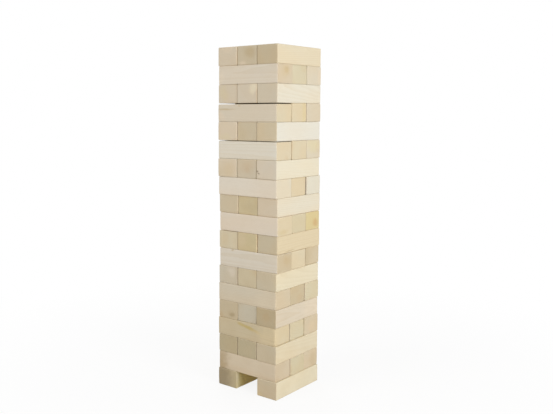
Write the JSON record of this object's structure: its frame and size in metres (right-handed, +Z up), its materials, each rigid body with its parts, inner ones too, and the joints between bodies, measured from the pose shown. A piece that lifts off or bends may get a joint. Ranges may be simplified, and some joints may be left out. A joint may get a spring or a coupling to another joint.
{
  "type": "tumbling tower game",
  "caption": "Tall stack of planed pine blocks laid crosswise in layers, each of which slides out lengthwise, on a bottom layer that lacks its middle block.",
  "frame": {"origin": "on the ground, in the middle of the stack", "axes": "+Z up; odd layers run along Y, even layers along X; -Y is the face that shows the opening in the bottom layer on the picture's left"},
  "size_m": [0.1877, 0.1892, 0.8559],
  "materials": {
    "pine_cream": "planed, very pale sapwood",
    "pine_straw": "planed, pale straw",
    "pine_golden": "planed, resinous yellow",
    "pine_rose": "planed, pinkish grey",
    "pine_tan": "planed, tan heartwood",
    "pine_weathered": "planed, dirty and weathered"
  },
  "bodies": {
    "base": {"layer_01_left": "pine_weathered", "layer_01_right": "pine_weathered"},
    "layer_02_front": {"layer_02_front": "pine_tan"},
    "layer_02_middle": {"layer_02_middle": "pine_tan"},
    "layer_02_back": {"layer_02_back": "pine_straw"},
    "layer_03_left": {"layer_03_left": "pine_tan"},
    "layer_03_middle": {"layer_03_middle": "pine_tan"},
    "layer_03_right": {"layer_03_right": "pine_straw"},
    "layer_04_front": {"layer_04_front": "pine_golden"},
    "layer_04_middle": {"layer_04_middle": "pine_straw"},
    "layer_04_back": {"layer_04_back": "pine_straw"},
    "layer_05_left": {"layer_05_left": "pine_rose"},
    "layer_05_middle": {"layer_05_middle": "pine_cream"},
    "layer_05_right": {"layer_05_right": "pine_tan"},
    "layer_06_front": {"layer_06_front": "pine_straw"},
    "layer_06_middle": {"layer_06_middle": "pine_tan"},
    "layer_06_back": {"layer_06_back": "pine_straw"},
    "layer_07_left": {"layer_07_left": "pine_rose"},
    "layer_07_middle": {"layer_07_middle": "pine_straw"},
    "layer_07_right": {"layer_07_right": "pine_straw"},
    "layer_08_front": {"layer_08_front": "pine_rose"},
    "layer_08_middle": {"layer_08_middle": "pine_straw"},
    "layer_08_back": {"layer_08_back": "pine_tan"},
    "layer_09_left": {"layer_09_left": "pine_straw"},
    "layer_09_middle": {"layer_09_middle": "pine_golden"},
    "layer_09_right": {"layer_09_right": "pine_golden"},
    "layer_10_front": {"layer_10_front": "pine_straw"},
    "layer_10_middle": {"layer_10_middle": "pine_tan"},
    "layer_10_back": {"layer_10_back": "pine_golden"},
    "layer_11_left": {"layer_11_left": "pine_straw"},
    "layer_11_middle": {"layer_11_middle": "pine_straw"},
    "layer_11_right": {"layer_11_right": "pine_straw"},
    "layer_12_front": {"layer_12_front": "pine_straw"},
    "layer_12_middle": {"layer_12_middle": "pine_tan"},
    "layer_12_back": {"layer_12_back": "pine_cream"},
    "layer_13_left": {"layer_13_left": "pine_straw"},
    "layer_13_middle": {"layer_13_middle": "pine_straw"},
    "layer_13_right": {"layer_13_right": "pine_rose"},
    "layer_14_front": {"layer_14_front": "pine_rose"},
    "layer_14_middle": {"layer_14_middle": "pine_straw"},
    "layer_14_back": {"layer_14_back": "pine_straw"},
    "layer_15_left": {"layer_15_left": "pine_straw"},
    "layer_15_middle": {"layer_15_middle": "pine_tan"},
    "layer_15_right": {"layer_15_right": "pine_cream"},
    "layer_16_front": {"layer_16_front": "pine_straw"},
    "layer_16_middle": {"layer_16_middle": "pine_tan"},
    "layer_16_back": {"layer_16_back": "pine_tan"},
    "layer_17_left": {"layer_17_left": "pine_straw"},
    "layer_17_middle": {"layer_17_middle": "pine_cream"},
    "layer_17_right": {"layer_17_right": "pine_cream"},
    "layer_18_front": {"layer_18_front": "pine_rose"},
    "layer_18_middle": {"layer_18_middle": "pine_straw"},
    "layer_18_back": {"layer_18_back": "pine_straw"},
    "layer_19_left": {"layer_19_left": "pine_straw"},
    "layer_19_middle": {"layer_19_middle": "pine_straw"},
    "layer_19_right": {"layer_19_right": "pine_cream"}
  },
  "joints": [
    {"name": "layer_16_front_slide", "type": "slide", "parent": "base", "child": "layer_16_front", "axis": [1, 0, 0], "range_m": [-0.19, 0.19]},
    {"name": "layer_19_middle_lift", "type": "slide", "parent": "base", "child": "layer_19_middle", "axis": [0, 0, 1], "range_m": [0, 0.19]},
    {"name": "layer_14_front_slide", "type": "slide", "parent": "base", "child": "layer_14_front", "axis": [1, 0, 0], "range_m": [-0.19, 0.19]},
    {"name": "layer_12_middle_slide", "type": "slide", "parent": "base", "child": "layer_12_middle", "axis": [1, 0, 0], "range_m": [-0.19, 0.19]},
    {"name": "layer_09_left_slide", "type": "slide", "parent": "base", "child": "layer_09_left", "axis": [0, 1, 0], "range_m": [-0.19, 0.19]},
    {"name": "layer_19_right_lift", "type": "slide", "parent": "base", "child": "layer_19_right", "axis": [0, 0, 1], "range_m": [0, 0.19]},
    {"name": "layer_05_middle_slide", "type": "slide", "parent": "base", "child": "layer_05_middle", "axis": [0, 1, 0], "range_m": [-0.19, 0.19]},
    {"name": "layer_18_back_slide", "type": "slide", "parent": "base", "child": "layer_18_back", "axis": [1, 0, 0], "range_m": [-0.19, 0.19]},
    {"name": "layer_11_right_slide", "type": "slide", "parent": "base", "child": "layer_11_right", "axis": [0, 1, 0], "range_m": [-0.19, 0.19]},
    {"name": "layer_02_front_slide", "type": "slide", "parent": "base", "child": "layer_02_front", "axis": [1, 0, 0], "range_m": [-0.19, 0.19]},
    {"name": "layer_08_back_slide", "type": "slide", "parent": "base", "child": "layer_08_back", "axis": [1, 0, 0], "range_m": [-0.19, 0.19]},
    {"name": "layer_17_left_slide", "type": "slide", "parent": "base", "child": "layer_17_left", "axis": [0, 1, 0], "range_m": [-0.19, 0.19]},
    {"name": "layer_03_middle_slide", "type": "slide", "parent": "base", "child": "layer_03_middle", "axis": [0, 1, 0], "range_m": [-0.19, 0.19]},
    {"name": "layer_10_front_slide", "type": "slide", "parent": "base", "child": "layer_10_front", "axis": [1, 0, 0], "range_m": [-0.19, 0.19]},
    {"name": "layer_15_right_slide", "type": "slide", "parent": "base", "child": "layer_15_right", "axis": [0, 1, 0], "range_m": [-0.19, 0.19]},
    {"name": "layer_04_middle_slide", "type": "slide", "parent": "base", "child": "layer_04_middle", "axis": [1, 0, 0], "range_m": [-0.19, 0.19]},
    {"name": "layer_13_middle_slide", "type": "slide", "parent": "base", "child": "layer_13_middle", "axis": [0, 1, 0], "range_m": [-0.19, 0.19]},
    {"name": "layer_06_back_slide", "type": "slide", "parent": "base", "child": "layer_06_back", "axis": [1, 0, 0], "range_m": [-0.19, 0.19]},
    {"name": "layer_07_left_slide", "type": "slide", "parent": "base", "child": "layer_07_left", "axis": [0, 1, 0], "range_m": [-0.19, 0.19]},
    {"name": "layer_19_left_lift", "type": "slide", "parent": "base", "child": "layer_19_left", "axis": [0, 0, 1], "range_m": [0, 0.19]},
    {"name": "layer_02_middle_slide", "type": "slide", "parent": "base", "child": "layer_02_middle", "axis": [1, 0, 0], "range_m": [-0.19, 0.19]},
    {"name": "layer_02_back_slide", "type": "slide", "parent": "base", "child": "layer_02_back", "axis": [1, 0, 0], "range_m": [-0.19, 0.19]},
    {"name": "layer_03_left_slide", "type": "slide", "parent": "base", "child": "layer_03_left", "axis": [0, 1, 0], "range_m": [-0.19, 0.19]},
    {"name": "layer_03_right_slide", "type": "slide", "parent": "base", "child": "layer_03_right", "axis": [0, 1, 0], "range_m": [-0.19, 0.19]},
    {"name": "layer_04_front_slide", "type": "slide", "parent": "base", "child": "layer_04_front", "axis": [1, 0, 0], "range_m": [-0.19, 0.19]},
    {"name": "layer_04_back_slide", "type": "slide", "parent": "base", "child": "layer_04_back", "axis": [1, 0, 0], "range_m": [-0.19, 0.19]},
    {"name": "layer_05_left_slide", "type": "slide", "parent": "base", "child": "layer_05_left", "axis": [0, 1, 0], "range_m": [-0.19, 0.19]},
    {"name": "layer_05_right_slide", "type": "slide", "parent": "base", "child": "layer_05_right", "axis": [0, 1, 0], "range_m": [-0.19, 0.19]},
    {"name": "layer_06_front_slide", "type": "slide", "parent": "base", "child": "layer_06_front", "axis": [1, 0, 0], "range_m": [-0.19, 0.19]},
    {"name": "layer_06_middle_slide", "type": "slide", "parent": "base", "child": "layer_06_middle", "axis": [1, 0, 0], "range_m": [-0.19, 0.19]},
    {"name": "layer_07_middle_slide", "type": "slide", "parent": "base", "child": "layer_07_middle", "axis": [0, 1, 0], "range_m": [-0.19, 0.19]},
    {"name": "layer_07_right_slide", "type": "slide", "parent": "base", "child": "layer_07_right", "axis": [0, 1, 0], "range_m": [-0.19, 0.19]},
    {"name": "layer_08_front_slide", "type": "slide", "parent": "base", "child": "layer_08_front", "axis": [1, 0, 0], "range_m": [-0.19, 0.19]},
    {"name": "layer_08_middle_slide", "type": "slide", "parent": "base", "child": "layer_08_middle", "axis": [1, 0, 0], "range_m": [-0.19, 0.19]},
    {"name": "layer_09_middle_slide", "type": "slide", "parent": "base", "child": "layer_09_middle", "axis": [0, 1, 0], "range_m": [-0.19, 0.19]},
    {"name": "layer_09_right_slide", "type": "slide", "parent": "base", "child": "layer_09_right", "axis": [0, 1, 0], "range_m": [-0.19, 0.19]},
    {"name": "layer_10_middle_slide", "type": "slide", "parent": "base", "child": "layer_10_middle", "axis": [1, 0, 0], "range_m": [-0.19, 0.19]},
    {"name": "layer_10_back_slide", "type": "slide", "parent": "base", "child": "layer_10_back", "axis": [1, 0, 0], "range_m": [-0.19, 0.19]},
    {"name": "layer_11_left_slide", "type": "slide", "parent": "base", "child": "layer_11_left", "axis": [0, 1, 0], "range_m": [-0.19, 0.19]},
    {"name": "layer_11_middle_slide", "type": "slide", "parent": "base", "child": "layer_11_middle", "axis": [0, 1, 0], "range_m": [-0.19, 0.19]},
    {"name": "layer_12_front_slide", "type": "slide", "parent": "base", "child": "layer_12_front", "axis": [1, 0, 0], "range_m": [-0.19, 0.19]},
    {"name": "layer_12_back_slide", "type": "slide", "parent": "base", "child": "layer_12_back", "axis": [1, 0, 0], "range_m": [-0.19, 0.19]},
    {"name": "layer_13_left_slide", "type": "slide", "parent": "base", "child": "layer_13_left", "axis": [0, 1, 0], "range_m": [-0.19, 0.19]},
    {"name": "layer_13_right_slide", "type": "slide", "parent": "base", "child": "layer_13_right", "axis": [0, 1, 0], "range_m": [-0.19, 0.19]},
    {"name": "layer_14_middle_slide", "type": "slide", "parent": "base", "child": "layer_14_middle", "axis": [1, 0, 0], "range_m": [-0.19, 0.19]},
    {"name": "layer_14_back_slide", "type": "slide", "parent": "base", "child": "layer_14_back", "axis": [1, 0, 0], "range_m": [-0.19, 0.19]},
    {"name": "layer_15_left_slide", "type": "slide", "parent": "base", "child": "layer_15_left", "axis": [0, 1, 0], "range_m": [-0.19, 0.19]},
    {"name": "layer_15_middle_slide", "type": "slide", "parent": "base", "child": "layer_15_middle", "axis": [0, 1, 0], "range_m": [-0.19, 0.19]},
    {"name": "layer_16_middle_slide", "type": "slide", "parent": "base", "child": "layer_16_middle", "axis": [1, 0, 0], "range_m": [-0.19, 0.19]},
    {"name": "layer_16_back_slide", "type": "slide", "parent": "base", "child": "layer_16_back", "axis": [1, 0, 0], "range_m": [-0.19, 0.19]},
    {"name": "layer_17_middle_slide", "type": "slide", "parent": "base", "child": "layer_17_middle", "axis": [0, 1, 0], "range_m": [-0.19, 0.19]},
    {"name": "layer_17_right_slide", "type": "slide", "parent": "base", "child": "layer_17_right", "axis": [0, 1, 0], "range_m": [-0.19, 0.19]},
    {"name": "layer_18_front_slide", "type": "slide", "parent": "base", "child": "layer_18_front", "axis": [1, 0, 0], "range_m": [-0.19, 0.19]},
    {"name": "layer_18_middle_slide", "type": "slide", "parent": "base", "child": "layer_18_middle", "axis": [1, 0, 0], "range_m": [-0.19, 0.19]}
  ]
}
